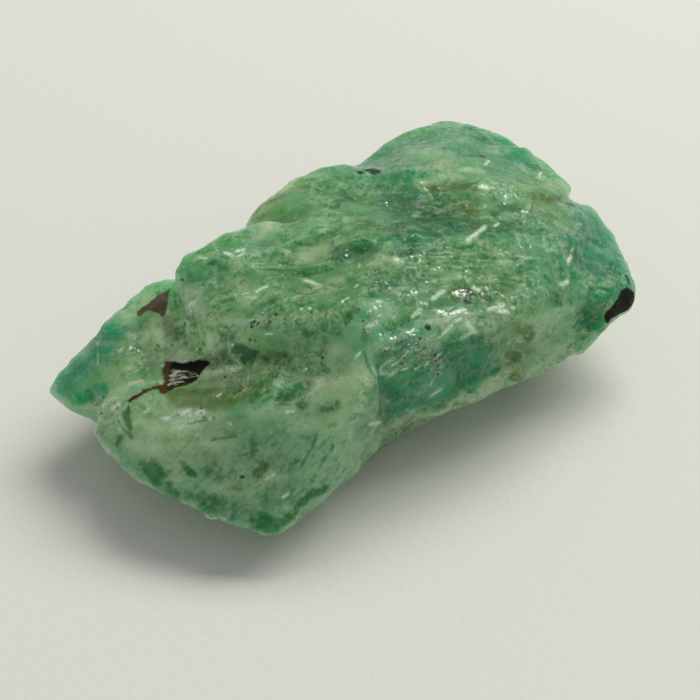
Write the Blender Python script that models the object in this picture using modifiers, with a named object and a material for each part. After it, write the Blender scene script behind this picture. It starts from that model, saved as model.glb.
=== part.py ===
"""A raw emerald: one broken, milky green beryl crystal with two grains of dark mica grown into it.

The stone lies on its flat underside at z = 0, with its long axis along X and its origin under the middle
of its bounding box. It is built the way it broke: angular lumps fused into one body, shell-shaped hollows
struck out of them, then the steps of the growth layers and shallow fracture scars pressed into the whole
skin. The two mica grains are grown into the beryl, so they are part of the same body. Lengths are in
millimetres, and metres() turns them into Blender's units.
"""

import math

import bmesh
import bpy
import numpy as np
from mathutils import Euler, Matrix, Vector, noise

MM = 0.001

# The skin.
SKIN_CELL = 0.3           # size of a cell of the fused skin
SKIN_SMOOTHING = 4        # passes that round the edges between lumps
SKIN_TRIANGLES = 8000     # triangles left in the finished stone

# The beryl: a milky, bluish green.
BERYL_COLOUR = (0.16, 0.40, 0.26, 1.0)
BERYL_ROUGHNESS = 0.28

# Growth layers: parallel sheets of beryl that break off in steps.
LAYER_AXIS = Vector((0.36, 0.38, 0.85)).normalized()
LAYER_THICKNESS = 0.9
LAYER_BITE = 0.38         # share of a full step that shows
LAYER_TREAD = 0.6         # share of a step that is level
LAYER_PATCH = 6.0         # size of the patches in which the steps come and go

# Fracture scars: shallow scoops that meet in ridges, drawn out along the layers.
SCAR_ALONG = Vector((0.73, -0.68, 0))
SCARS = [(4.6, 1.7, 0.80, 3.0), (2.1, 1.0, 0.38, 41.0)]   # size, stretch, depth and shift of each family

# Corners of each lump. A lump is the convex block on its corners.
LUMPS = {
    "keel": [
        (-9.4, -2.6, -0.5), (-8.2, 3.4, -0.5), (-2.4, 6.0, -0.5), (6.6, 5.6, -0.5), (11.4, 1.6, -0.5),
        (10.4, -3.4, -0.5), (5.0, -4.8, -0.5), (-3.9, -4.2, -0.5), (-13.2, -3.2, 2.2), (-13.4, 4.6, 2.0),
        (-6.4, 7.9, 2.2), (3.4, 8.0, 1.8), (13.6, 6.8, 2.4), (16.0, 1.4, 2.2), (14.8, -5.8, 2.6),
        (8.4, -7.6, 2.6), (1.6, -6.0, 2.7), (-6.6, -6.2, 1.8), (-14.4, 6.4, 3.6), (-14.6, -2, 3.9),
        (-4, -5.6, 4), (10, -8.6, 4.4), (17, -2, 4.6), (17, 6, 4.6), (0, 9, 4.4),
    ],
    "core": [
        (-6, 8.2, 8.2), (0, 8.3, 8.2), (8.5, 7.8, 8.6), (16, 6, 8.1), (17.4, -1, 7.8), (16.4, -5, 7.6),
        (13, -8.6, 7.4), (5, -8.4, 8.8), (-1.5, -6, 9.4), (-4, 0, 9.8), (4, 2, 9.9), (11, -3.5, 9.4),
        (-4.4, -6.6, 4), (9, -9.3, 4), (16, -5, 4), (16, 6, 4), (0, 8, 4), (-8, 7, 4),
    ],
    "main_ridge": [
        (-6.2, 7.4, 10), (-4, 6.9, 10.3), (-1.5, 6.8, 10.3), (-7.4, 7.2, 9.7), (-8.4, 4.8, 8.9),
        (-8.7, 2.1, 9.7), (-6.3, -0.6, 10.6), (-4, -3, 11.1), (-3.1, -4.8, 11.1), (2.2, -5.8, 11.2),
        (8, -3.6, 11.2), (3.5, -1.8, 11.6), (10.6, -7.2, 9.5), (-6, 8, 4), (-9.2, 4, 4), (-4, -6, 4),
        (10, -8.5, 4), (9, 2, 4), (0, 7.5, 4),
    ],
    "front_shelf": [
        (-4.4, -7, 9.4), (-5.8, -6.4, 8.8), (-10, -3.1, 8.3), (-13.6, 1.5, 7.2), (-14.8, 3.8, 6.5),
        (-16.6, 4.6, 4.3), (-16.5, 1.0, 4.1), (-15.4, -2.8, 3.3), (-14.5, -4.8, 2.9), (-13.1, -7.0, 2.4),
        (-12.2, -7.4, 2.3), (-10.6, -7.3, 3.0), (-7.3, -7.3, 2.8), (-4.2, -7.2, 2.9), (-9, 4, 7.0),
        (-5, -0.5, 8.2), (-2.6, -5.8, 9.4), (-2, -4, 3), (-10.6, -1.8, 0.9), (-9.4, -5.0, 1.2),
        (-5.0, -4.8, 1.2), (-6.0, 2.0, 1.0),
    ],
    "left_toe": [
        (-16.3, 9, 4.1), (-14.8, 9.5, 5), (-12.4, 9.6, 5.5), (-9.5, 10.1, 6.1), (-7.6, 9.6, 7.1),
        (-6.5, 8.8, 7.8), (-15.7, 5.3, 5.2), (-14.8, 3.8, 6.5), (-11, 6.1, 6.6), (-10.4, 2.6, 7.2),
        (-5, 4, 7.6), (-15.2, 7.6, 3.2), (-13, 8.6, 2.8), (-7, 9, 3), (-4, 7.5, 3.4), (-14, 3, 3),
        (-10.8, 5.4, 1.5), (-6.4, 5.6, 1.0),
    ],
    "back_hump": [
        (0.6, 8.8, 8.2), (3.4, 9.3, 8.8), (5.2, 9.3, 9.3), (6.9, 8.9, 9.4), (8.8, 7.8, 8.9), (0.6, 5, 10.2),
        (7, 3, 10.3), (3, 7, 9.9), (0.4, 9.7, 5.2), (8.5, 9, 4), (-3, 7.6, 8.6), (-3, 5, 4), (3.2, 7.0, 1.6),
    ],
    "back_shoulder": [
        (7.4, 8.6, 8.8), (10.2, 8.5, 8.5), (13.4, 8.7, 8.4), (16.4, 8.3, 8.0), (18.7, 4.8, 8.3),
        (18.3, 1.4, 8.0), (18.1, -2.3, 7.6), (15.6, -3.4, 9.1), (8.6, 0.8, 10.8), (12.0, -2.2, 10.6),
        (11.5, 4.5, 10.5), (6.2, 4, 10.3), (17.2, 7, 4.8), (17.6, -1, 4.2), (10.2, 8.4, 3.6), (8, 0, 5),
        (13.4, 4.2, 1.7), (14.2, -0.6, 1.7),
    ],
    "right_nose": [
        (17.7, -4, 7.3), (17.1, -7.2, 6.8), (15.9, -9.1, 6.5), (15.1, -10.4, 5.5), (12.8, -10.5, 4.5),
        (11.1, -10.5, 3.8), (10.2, -10.4, 3.3), (14, -5.7, 8.6), (9.3, -9.5, 8), (11.8, -10.2, 7),
        (8, -5, 9), (15.4, -7.5, 3.8), (16.4, -3, 4.2), (8, -5, 3.6), (12.6, -4.4, 1.7),
        (10.4, -6.6, 2.0),
    ],
    "right_flank": [
        (10.4, -7.0, 9.7), (8.6, -9.6, 7.9), (4.6, -8.9, 8.9), (1.4, -7.4, 10.4), (-1.9, -7.2, 3.3),
        (0.3, -7.4, 3.5), (2.9, -8.1, 3.4), (6.1, -9.4, 3.2), (8.9, -10.0, 3.3), (12, -9.9, 4.4),
        (-3.2, -6.2, 10.0), (-4.2, -6.8, 4), (2, -3, 9), (13, -5, 8.6), (4, -4, 3.4), (0.6, -4.6, 1.4),
        (6.4, -5.6, 1.5),
    ],
    "rim": [
        (-2.8, -7.0, 3.4), (-2.3, -7.3, 3.7), (-0.8, -7.7, 3.9), (2.0, -8.9, 4.0), (4.6, -9.7, 4.0),
        (7.0, -10.2, 4.2), (8.6, -10.1, 5.1), (7.6, -9.4, 6.3), (5.4, -9.0, 6.0), (1.8, -8.1, 5.7),
        (-1.0, -7.0, 5.2), (3, -5, 4.2), (8, -6, 4.8),
    ],
    "saddle": [
        (-0.8, 4.8, 10.3), (2.6, 5.2, 10.1), (7.4, 2.6, 10.5), (9.8, 0.0, 10.6), (11.6, -2.0, 10.5),
        (13.4, -2.6, 9.4), (11.6, -4.6, 9.9), (8.0, -3.4, 11.0), (4.6, -1.4, 11.3), (-0.4, 2.0, 11.0),
        (2, 2, 8), (8, -1, 8), (12, -3, 8),
    ],
    "ledge_apron": [
        (-8.6, 3.0, 8.8), (-7.1, 0.2, 9.8), (-5.4, -2.1, 10.3), (-3.2, -4.6, 10.6), (-9.8, 1.8, 7.6),
        (-8.3, -1.1, 8.3), (-6.7, -3.4, 8.6), (-4.8, -6.0, 9.4), (-2.6, -6.2, 10.2), (-6.6, 2.0, 6.0),
        (-2.0, -4.4, 6.0),
    ],
    "nose_apron": [
        (9.6, -3.8, 10.6), (12.6, -2.4, 10.2), (15.4, -3.0, 8.9), (17.6, -3.0, 7.2), (17.1, -4.6, 7.1),
        (14.6, -6.4, 8.4), (11.4, -7.4, 9.1), (9.0, -5.8, 10.5), (12, -5, 7), (15, -4, 6),
    ],
    "ridge_apron": [
        (0.4, -5.4, 10.9), (3.6, -5.8, 10.9), (6.3, -6.3, 10.6), (9.2, -7.0, 9.9), (-1.2, -6.4, 10.2),
        (2.0, -7.7, 10.0), (4.9, -8.3, 9.5), (7.8, -8.8, 8.9), (2, -5, 7), (7, -6, 7),
    ],
    "tip_mica": [
        (15.2, -9.7, 5.9), (14.8, -10.5, 5.4), (14.1, -10.6, 4.7), (13.4, -10.4, 4.5), (13.6, -9.6, 5.7),
        (14.6, -9.2, 6.4), (14.4, -8.6, 5.2), (13.4, -9.4, 4.5), (15.2, -9.3, 4.9),
    ],
    "crack_mica": [
        (-11.9, 3.1, 7.1), (-9.6, 1.4, 7.6), (-10.4, 1.3, 7.35), (-11.2, 1.5, 7.25), (-12.1, 2.1, 7.1),
        (-11.6, 2.6, 5.5), (-9.9, 1.6, 5.8), (-11.4, 1.8, 5.5),
    ],
}

# Hollows struck out of the stone: centre, radii, and turn in degrees about X, Y and Z.
HOLLOWS = {
    "under_ledge": ((-8.3, -0.3, 9.7), (2.8, 0.9, 1.3), (0, 8, -47)),
    "left_bench": ((-11.4, 5.2, 10.2), (3.4, 2.6, 3.7), (0, 10, -50)),
    "trough": ((6.6, -0.2, 12.0), (5.0, 1.8, 1.3), (0, 0, -42)),
    "ridge_saddle": ((-0.6, 8.6, 12.6), (3.0, 2.4, 3.4), (0, 0, -30)),
    "front_scoop": ((-8.2, -12.6, 7.4), (5.4, 5.6, 4.6), (0, 10, 10)),
    "flank_scoop": ((3.4, -11.0, 8.6), (6.0, 2.6, 3.4), (0, 0, -15)),
    "end_dish": ((-18.5, 0.4, 8.8), (3.6, 5.0, 4.2), (0, 0, 0)),
    "back_dish": ((6.0, 14.2, 5.0), (7.0, 5.6, 4.4), (0, 0, 0)),
    "far_end_dish": ((23.0, 3.0, 4.4), (5.4, 4.2, 4.2), (0, 0, 0)),
}


def metres(point):
    return Vector(point) * MM


def clear_scene():
    for old in list(bpy.data.objects):
        bpy.data.objects.remove(old, do_unlink=True)


def new_collection(name):
    made = bpy.data.collections.new(name)
    bpy.context.scene.collection.children.link(made)
    return made


def add_helper(name, bm, collection):
    """A guide or cutter: it shapes the stone and isn't part of it."""
    bmesh.ops.recalc_face_normals(bm, faces=bm.faces)
    mesh = bpy.data.meshes.new(name)
    bm.to_mesh(mesh)
    bm.free()
    made = bpy.data.objects.new(name, mesh)
    made.hide_render = True
    made.display_type = "WIRE"
    collection.objects.link(made)
    return made


def lump(name, corners, collection):
    """The convex block on these corners."""
    bm = bmesh.new()
    for corner in corners:
        bm.verts.new(metres(corner))
    hull = bmesh.ops.convex_hull(bm, input=bm.verts)
    spare = {v for v in hull["geom_interior"] + hull["geom_unused"] if isinstance(v, bmesh.types.BMVert)}
    bmesh.ops.delete(bm, geom=list(spare), context="VERTS")
    return add_helper(name, bm, collection)


def hollow(name, centre, radii, turn, collection):
    """The egg-shaped cutter of one shell-like break."""
    bm = bmesh.new()
    bmesh.ops.create_icosphere(bm, subdivisions=4, radius=1.0)
    stretch = Matrix.Diagonal((*metres(radii), 1.0))
    turned = Euler([math.radians(angle) for angle in turn]).to_matrix().to_4x4()
    bm.transform(Matrix.Translation(metres(centre)) @ turned @ stretch)
    return add_helper(name, bm, collection)


def boolean(obj, operation, collection):
    modifier = obj.modifiers.new(operation.title(), "BOOLEAN")
    modifier.operation = operation
    modifier.operand_type = "COLLECTION"
    modifier.collection = collection
    modifier.solver = "EXACT"


def applied(obj):
    """The object's mesh with its modifiers applied."""
    graph = bpy.context.evaluated_depsgraph_get()
    return bpy.data.meshes.new_from_object(obj.evaluated_get(graph))


def fused_skin(collection):
    """All lumps as one body, less the hollows, with an even skin."""
    lumps = new_collection("lumps")
    hollows = new_collection("hollows")
    body = lump("keel", LUMPS["keel"], collection)
    for name, corners in LUMPS.items():
        if name != "keel":
            lump(name, corners, lumps)
    for name, (centre, radii, turn) in HOLLOWS.items():
        hollow(name, centre, radii, turn, hollows)
    boolean(body, "UNION", lumps)
    boolean(body, "DIFFERENCE", hollows)
    remesh = body.modifiers.new("Skin", "REMESH")
    remesh.mode = "VOXEL"
    remesh.voxel_size = SKIN_CELL * MM
    smooth = body.modifiers.new("Worn edges", "SMOOTH")
    smooth.factor = 0.5
    smooth.iterations = SKIN_SMOOTHING
    mesh = applied(body)
    bpy.data.objects.remove(body)
    return mesh


def scar_lift(point, size, stretch, depth, shift):
    """How far a point of the skin stands out of its scar: most at the ridges between scars."""
    along = point.dot(SCAR_ALONG)
    place = (point - SCAR_ALONG * along * (1 - 1 / stretch)) / size + Vector((shift, shift, shift))
    reach = noise.voronoi(place)[0][0]
    return depth * (min(reach, 0.8) ** 2 - 0.16)


def layer_shift(point, normal):
    """The move along LAYER_AXIS that turns a slope across the layers into level treads and steep risers."""
    level = point.dot(LAYER_AXIS) / LAYER_THICKNESS + noise.noise(point / LAYER_PATCH)
    part = level - math.floor(level)
    stepped = 0.0 if part < LAYER_TREAD else (part - LAYER_TREAD) / (1 - LAYER_TREAD)
    patch = min(max(0.35 + 2.4 * noise.noise(point / LAYER_PATCH + Vector((7, 0, 3))), 0), 1)
    facing = min(max(normal.dot(LAYER_AXIS) * 2, 0), 1)
    return (stepped - part) * LAYER_THICKNESS * LAYER_BITE * patch * facing


def press_relief(mesh):
    """Presses the fracture scars and the layer steps into the skin."""
    moved = []
    for vertex in mesh.vertices:
        point = vertex.co / MM
        normal = vertex.normal
        lift = sum(scar_lift(point, *scar) for scar in SCARS)
        moved.append((point + normal * lift + LAYER_AXIS * layer_shift(point, normal)) * MM)
    for vertex, place in zip(mesh.vertices, moved):
        vertex.co = place


def thinned(mesh, collection):
    """The skin with its flat stretches merged into fewer, larger triangles."""
    stone = bpy.data.objects.new("emerald", mesh)
    collection.objects.link(stone)
    thin = stone.modifiers.new("Thin", "DECIMATE")
    thin.ratio = SKIN_TRIANGLES / (2 * len(mesh.polygons))
    stone.data = applied(stone)
    stone.modifiers.clear()
    return stone


def saw_flat(stone):
    """Cuts the underside off level at z = 0."""
    bm = bmesh.new()
    bm.from_mesh(stone.data)
    everything = bm.verts[:] + bm.edges[:] + bm.faces[:]
    ground = {"plane_co": (0, 0, 0), "plane_no": (0, 0, 1)}
    cut = bmesh.ops.bisect_plane(bm, geom=everything, clear_inner=True, **ground)
    rim = [e for e in cut["geom_cut"] if isinstance(e, bmesh.types.BMEdge)]
    base = bmesh.ops.contextual_create(bm, geom=rim)["faces"]
    bmesh.ops.triangulate(bm, faces=base)
    bmesh.ops.recalc_face_normals(bm, faces=bm.faces)
    bm.to_mesh(stone.data)
    bm.free()


def stand_over_origin(stone):
    """Moves the mesh so that the middle of its bounding box is over the origin."""
    places = np.array([vertex.co for vertex in stone.data.vertices])
    middle = (places.min(axis=0) + places.max(axis=0)) / 2
    stone.data.transform(Matrix.Translation((-middle[0], -middle[1], 0)))


def beryl():
    made = bpy.data.materials.new("beryl")
    made.use_nodes = True
    shader = made.node_tree.nodes["Principled BSDF"]
    shader.inputs["Base Color"].default_value = BERYL_COLOUR
    shader.inputs["Roughness"].default_value = BERYL_ROUGHNESS
    shader.inputs["Metallic"].default_value = 0.0
    return made


def build():
    clear_scene()
    specimen = new_collection("raw_emerald")
    skin = fused_skin(specimen)
    press_relief(skin)
    stone = thinned(skin, specimen)
    saw_flat(stone)
    stand_over_origin(stone)
    stone.data.materials.clear()
    stone.data.materials.append(beryl())


build()
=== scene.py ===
"""The finish of a raw emerald: its broken, layered skin, its milky green colours and its dark mica."""

import math

import bmesh
import bpy
import numpy as np
from mathutils import Matrix, Vector
from mathutils.bvhtree import BVHTree


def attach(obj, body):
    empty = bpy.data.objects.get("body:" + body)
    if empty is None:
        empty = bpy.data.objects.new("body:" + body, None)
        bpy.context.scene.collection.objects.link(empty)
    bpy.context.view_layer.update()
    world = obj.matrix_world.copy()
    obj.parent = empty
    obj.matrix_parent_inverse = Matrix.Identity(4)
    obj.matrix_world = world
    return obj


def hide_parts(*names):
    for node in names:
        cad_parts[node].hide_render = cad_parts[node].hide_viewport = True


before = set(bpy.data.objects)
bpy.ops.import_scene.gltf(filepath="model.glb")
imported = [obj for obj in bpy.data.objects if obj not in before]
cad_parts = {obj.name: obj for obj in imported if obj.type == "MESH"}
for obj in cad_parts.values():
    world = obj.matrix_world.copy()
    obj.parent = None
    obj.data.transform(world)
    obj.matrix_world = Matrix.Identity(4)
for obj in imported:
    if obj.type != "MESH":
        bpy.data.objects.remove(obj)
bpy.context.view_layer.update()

MM = 0.001

# The camera: its turn and height about the stone in degrees, and what it looks at, in millimetres.
EYE_TURN = -43.0
EYE_HEIGHT = 45.0
EYE_DISTANCE = 84.0
LENS = 70.0
SENSOR = 36.0
VIEW = 700
LOOKS_AT = Vector((-1.3, 0.35, 5.0))
LOOKS_AT_SPOT = (345, 330)

# The stone's skin, in millimetres, and the ways its layers and feathers point, and the sides turned away
# from the lamp and toward it, where light is painted into the colour.
SKIN_CELL = 0.16
WELD = 0.001
SOFTENING = 0.5
SOFTENING_PASSES = 6
LAYER_AXIS = Vector((0.36, 0.38, 0.85)).normalized()
LAYER_RUN = Vector((0.73, -0.68, 0.0)).normalized()
LAYER_SIDE = Vector((0.68, 0.73, 0.0)).normalized()
FEATHER_RUN = Vector((0.45, -0.42, 0.79)).normalized()
SHADED_SIDE = Vector((-0.70, -0.30, -0.65)).normalized()
LIT_SIDE = Vector((0.60, 0.78, 0.15)).normalized()
RELIEF = {
    "Swell": 0.06,
    "Scar depth": 0.06,
    "Chip tilt": 0.07,
    "Layer thickness": 0.30,
    "Layer bite": 0.42,
    "Grain": 0.025,
    "Flat base height": 0.5,
    "Crumbs per square millimetre": 9.0,
    "Crumb size": 0.13,
    "Seed": 11,
}
CHIP = 0.55
FINE_CHIP = 0.26
SPLINTER = 0.60
CRUMB_SHAPE = {"Vertices": 4, "Radius Top": 0.35, "Radius Bottom": 1.0, "Depth": 1.3}
CRUMB_SPREAD = (0.25, 1.0)
CRUMB_MILK = 0.8

# How deep past the first face each outlined mark may lie.
WINDOW_DEPTH = 4.0
PATCH_DEPTH = 2.0
FLAKE_DEPTH = 2.6
TIP_DEPTH = 2.1
TAIL_WIDTH = 0.28
FLAKE_SUNK = 0.16
FLAKE_EDGE = 0.15

# How the beryl bends and scatters light.
BERYL_IOR = 1.58
COAT_IOR = 2.1
MILK_REACH = (5.0, 8.5, 6.0)
CLEAR_SHARE = 0.16

# The paper, and the lamp: its place right of the stone, beyond it and above it, and its two sides.
PAPER_SIZE = 2000
PAPER_COLOUR = (0.78, 0.775, 0.705, 1)
PAPER_TOOTH = 0.05
LAMP_PLACE = (414, 402, 600)
LAMP_SIDES = (890, 324)
LAMP_WATTS = 7.0
LAMP_COLOUR = (1.0, 0.99, 0.96)
ROOM_COLOUR = (0.95, 0.97, 1.0, 1)
ROOM_STRENGTH = 0.36

# Colours, as linear red, green and blue.
PALETTE = {
    "green": (0.100, 0.315, 0.100, 1),
    "light green": (0.185, 0.45, 0.19, 1),
    # Painted fill: a pale green laid on faces turned away from the lamp.
    "painted fill green": (0.44, 0.66, 0.42, 1),
    "deep green": (0.02, 0.19, 0.05, 1),
    "teal": (0.030, 0.37, 0.17, 1),
    # Painted glow: a lit copy of teal, for light shining through the stone.
    "painted glow teal": (0.12, 0.58, 0.28, 1),
    # Painted glow: a bright green for light shining through the stone.
    "painted glow green": (0.15, 0.66, 0.34, 1),
    "dusky teal": (0.028, 0.205, 0.115, 1),
    "olive": (0.080, 0.15, 0.015, 1),
    "cool green": (0.11, 0.335, 0.195, 1),
    "warm green": (0.22, 0.36, 0.13, 1),
    "window": (0.008, 0.20, 0.055, 1),
    # Painted light: a paler, greyer green for faces turned toward the lamp.
    "painted lit green": (0.26, 0.36, 0.23, 1),
    "milk": (0.48, 0.63, 0.38, 1),
    # Painted fill: a bright milk that lightens shaded hollows and shaded faces.
    "painted fill milk": (0.74, 0.93, 0.62, 1),
    "glint": (0.74, 0.97, 0.74, 1),
    "cream": (0.62, 0.68, 0.40, 1),
    "rust": (0.115, 0.055, 0.042, 1),
    "speck": (0.008, 0.04, 0.03, 1),
    "clear tint": (0.75, 0.98, 0.82, 1),
    "black mica": (0.003, 0.004, 0.001, 1),
    "brown mica": (0.075, 0.044, 0.010, 1),
    "pearl": (0.50, 0.50, 0.40, 1),
}

# The coloured zones in the order they are laid: the mark, where it starts and where it is full, how ragged
# its edge is, how much it covers, and its colour.
ZONES = [
    ("milky", 0.20, 0.90, 1.0, 0.75, "milk"),
    # Milky runs past 0.9 lay painted fill milk: painted light in shaded hollows and on shaded faces.
    ("milky", 0.90, 1.60, 1.0, 0.75, "painted fill milk"),
    ("dusky", 0.15, 0.85, 1.0, 0.80, "dusky teal"),
    ("teal", 0.25, 0.75, 1.5, 0.90, "teal"),
    # Teal runs past 0.8 lay painted glow teal: painted light shining through the stone, chiefly on the
    # shaded flank.
    ("teal", 0.80, 1.50, 1.0, 0.70, "painted glow teal"),
    ("olive", 0.25, 0.80, 1.0, 0.75, "olive"),
    ("deep", 0.22, 0.90, 2.0, 0.85, "deep green"),
]

# Where each thing shows on the stone, as spots across and down the camera's 700-wide view. A run is a
# chain of spots with a reach in millimetres and a strength; a line is a chain alone.
DEEP_GREEN = [
    (((404, 206), (424, 214), (446, 208)), 0.8, 0.75),
    (((400, 229), (420, 229)), 0.35, 1.2),
    (((404, 222), (430, 222)), 0.6, 0.8),
    (((496, 214), (516, 208), (530, 216)), 0.5, 0.7),
    (((318, 238), (324, 234), (334, 234)), 0.3, 0.8),
    (((404, 230), (430, 228), (452, 222)), 1.1, 1.1),
    (((580, 340), (596, 330), (574, 352)), 0.8, 0.6),
    (((352, 232), (366, 226)), 0.8, 0.6),
    (((340, 252), (362, 250)), 0.6, 0.9),
    (((376, 278), (405, 278), (420, 284)), 0.9, 0.55),
    (((429, 252), (470, 250), (505, 254)), 0.8, 0.5),
    (((470, 294), (484, 304)), 0.6, 0.5),
    (((470, 228), (500, 226), (530, 232)), 0.9, 0.6),
    (((572, 246), (576, 260)), 0.5, 0.6),
    (((340, 232), (360, 228)), 0.7, 0.5),
    (((392, 254), (412, 250)), 0.35, 0.8),
    (((494, 234), (516, 226)), 0.5, 0.8),
    (((262, 306), (276, 300)), 0.35, 0.8),
    (((214, 262), (226, 268)), 0.35, 0.7),
    (((330, 206), (350, 200)), 0.4, 0.7),
    (((346, 318), (356, 308)), 0.4, 0.7),
    (((208, 470), (222, 476)), 0.45, 0.6),
    (((236, 486), (230, 496)), 0.4, 0.4),
    (((186, 494), (196, 500)), 0.35, 0.8),
    (((288, 470), (296, 460)), 0.35, 0.5),
    (((326, 410), (336, 404)), 0.3, 0.7),
    (((98, 432), (104, 436)), 0.3, 0.8),
    (((238, 350), (262, 358), (280, 360)), 0.5, 0.6),
    (((280, 398), (300, 392), (310, 384)), 0.3, 0.9),
    (((470, 128), (486, 138)), 0.7, 0.6),
    (((146, 470), (158, 474)), 0.5, 1.1),
    (((206, 504), (222, 508)), 0.6, 0.9),
    (((256, 524), (272, 526)), 0.5, 1.1),
    (((284, 520), (300, 506), (310, 494), (322, 490)), 0.35, 1.0),
    (((170, 488), (178, 494)), 0.4, 0.6),
    (((250, 440), (256, 458)), 0.4, 0.7),
    (((214, 436), (240, 434)), 0.35, 0.4),
    (((300, 404), (304, 406)), 0.2, 0.9),
    (((546, 276), (550, 282)), 0.2, 0.8),
    (((550, 300), (562, 298)), 0.4, 0.7),
]
# Teal zones of the stone. Runs stronger than 0.8 also lay painted glow teal, painted light shining through
# onto the shaded flank.
TEAL_AND_PAINTED_GLOW = [
    (((392, 392), (404, 404), (384, 416)), 0.8, 0.9),
    (((398, 368), (424, 382), (440, 384)), 1.3, 2.0),
    (((404, 360), (440, 366)), 0.6, 0.6),
    (((460, 350), (476, 362), (462, 374)), 1.1, 1.3),
    (((480, 376), (496, 370)), 0.3, 0.9),
    (((566, 240), (574, 246)), 0.35, 1.0),
    (((578, 250), (592, 254)), 0.35, 1.2),
    (((568, 266), (574, 274)), 0.35, 1.3),
    (((562, 260), (563, 278)), 0.2, 1.4),
    (((600, 250), (608, 262)), 0.9, 0.5),
    (((596, 294), (612, 290)), 0.6, 0.7),
    (((386, 182), (406, 176)), 0.6, 1.0),
    (((404, 190), (420, 200)), 0.6, 0.7),
    (((492, 140), (510, 148)), 0.5, 0.5),
    (((470, 152), (474, 160)), 0.5, 0.5),
    (((84, 394), (98, 392)), 0.6, 1.0),
    (((66, 396), (72, 400)), 0.4, 0.6),
    (((108, 328), (118, 334)), 0.6, 0.8),
    (((82, 358), (98, 352)), 0.4, 0.6),
    (((104, 354), (112, 352)), 0.4, 0.7),
    (((78, 376), (82, 378)), 0.25, 0.8),
    (((368, 402), (378, 398)), 0.5, 0.6),
    (((372, 424), (362, 428)), 0.35, 0.6),
    (((470, 132), (500, 140), (520, 156)), 1.0, 0.9),
    (((588, 312), (600, 306), (600, 318)), 0.6, 1.6),
    (((406, 388), (424, 382), (440, 388)), 0.6, 1.2),
]
DUSKY = [
    (((584, 214), (600, 236), (612, 262), (618, 284)), 1.7, 1.1),
    (((574, 250), (590, 262)), 1.4, 1.0),
    (((612, 250), (622, 276), (626, 284)), 0.9, 1.2),
    (((68, 380), (86, 364), (106, 338)), 1.3, 0.9),
    (((474, 130), (504, 142), (524, 160)), 1.1, 0.8),
    (((124, 456), (150, 480), (190, 504), (270, 524)), 0.8, 0.6),
    (((272, 506), (294, 494)), 1.0, 0.5),
    (((106, 440), (120, 450)), 0.6, 0.6),
    (((402, 204), (420, 216), (408, 232), (440, 226)), 1.3, 1.2),
    (((340, 254), (366, 250)), 0.9, 0.8),
    (((588, 310), (600, 306), (600, 318)), 0.8, 1.3),
]
OLIVE = [
    (((178, 394), (214, 398), (258, 390)), 0.7, 1.1),
    (((200, 382), (240, 376)), 0.7, 0.6),
    (((206, 366), (226, 360)), 0.7, 0.8),
    (((166, 322), (176, 336)), 0.6, 0.9),
    (((434, 190), (458, 186), (476, 188)), 0.5, 0.9),
    (((462, 206), (470, 212), (474, 228)), 0.6, 0.9),
    (((534, 198), (558, 200)), 0.6, 0.9),
    (((526, 330), (530, 338)), 0.35, 1.2),
    (((510, 354), (518, 358)), 0.3, 1.3),
    (((512, 376), (520, 380)), 0.25, 1.3),
    (((500, 330), (516, 322), (530, 350)), 0.8, 0.6),
    (((456, 294), (480, 294)), 0.5, 0.8),
    (((254, 214), (276, 198)), 0.8, 0.7),
    (((300, 300), (302, 304)), 0.3, 1.0),
    (((246, 374), (258, 372)), 0.4, 0.6),
    (((264, 466), (256, 474)), 0.25, 1.0),
    (((500, 362), (512, 366), (526, 374)), 0.6, 0.6),
]
COOL = [
    (((60, 380), (90, 366), (116, 334)), 2.6, 0.9),
    (((400, 350), (430, 370), (470, 360)), 2.8, 1.0),
    (((390, 330), (420, 320), (450, 322)), 2.0, 0.8),
    (((380, 410), (340, 450), (320, 480)), 2.4, 0.7),
    (((560, 220), (590, 250), (604, 300)), 2.8, 1.1),
    (((430, 405), (480, 395), (530, 380)), 1.6, 0.8),
    (((370, 165), (440, 140), (520, 165)), 3.2, 1.0),
    (((300, 190), (340, 176)), 1.4, 0.6),
    (((140, 450), (200, 470), (260, 490), (300, 460)), 3.2, 1.1),
    (((210, 270), (190, 300)), 1.4, 0.6),
    (((540, 240), (530, 280)), 1.8, 0.7),
    (((240, 250), (260, 240)), 1.2, 0.6),
]
# Painted glow: a brighter green laid on the shaded flank, standing in for light shining through the stone.
PAINTED_GLOW_RUNS = [
    (((385, 345), (420, 365), (480, 362)), 1.7, 1.0),
    (((440, 398), (500, 376)), 1.0, 0.9),
    (((320, 350), (345, 350)), 1.0, 0.6),
    (((396, 184), (412, 178)), 0.8, 0.6),
]
WARM = [
    (((320, 380), (350, 376), (370, 380)), 1.6, 1.0),
    (((120, 370), (150, 350), (150, 330)), 1.8, 0.9),
    (((350, 256), (320, 250), (360, 258)), 1.4, 0.8),
    (((550, 180), (540, 205), (556, 218)), 1.4, 1.0),
    (((258, 218), (276, 196), (300, 180)), 1.2, 1.0),
    (((500, 320), (520, 345), (530, 370)), 1.8, 1.0),
    (((380, 290), (440, 280), (500, 280)), 2.0, 0.6),
    (((230, 300), (300, 290), (340, 300)), 2.2, 0.5),
    (((450, 215), (470, 212)), 1.4, 0.8),
    (((180, 390), (230, 380), (290, 350)), 1.8, 0.8),
    (((130, 420), (170, 440), (120, 440)), 1.6, 0.6),
]
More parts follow.
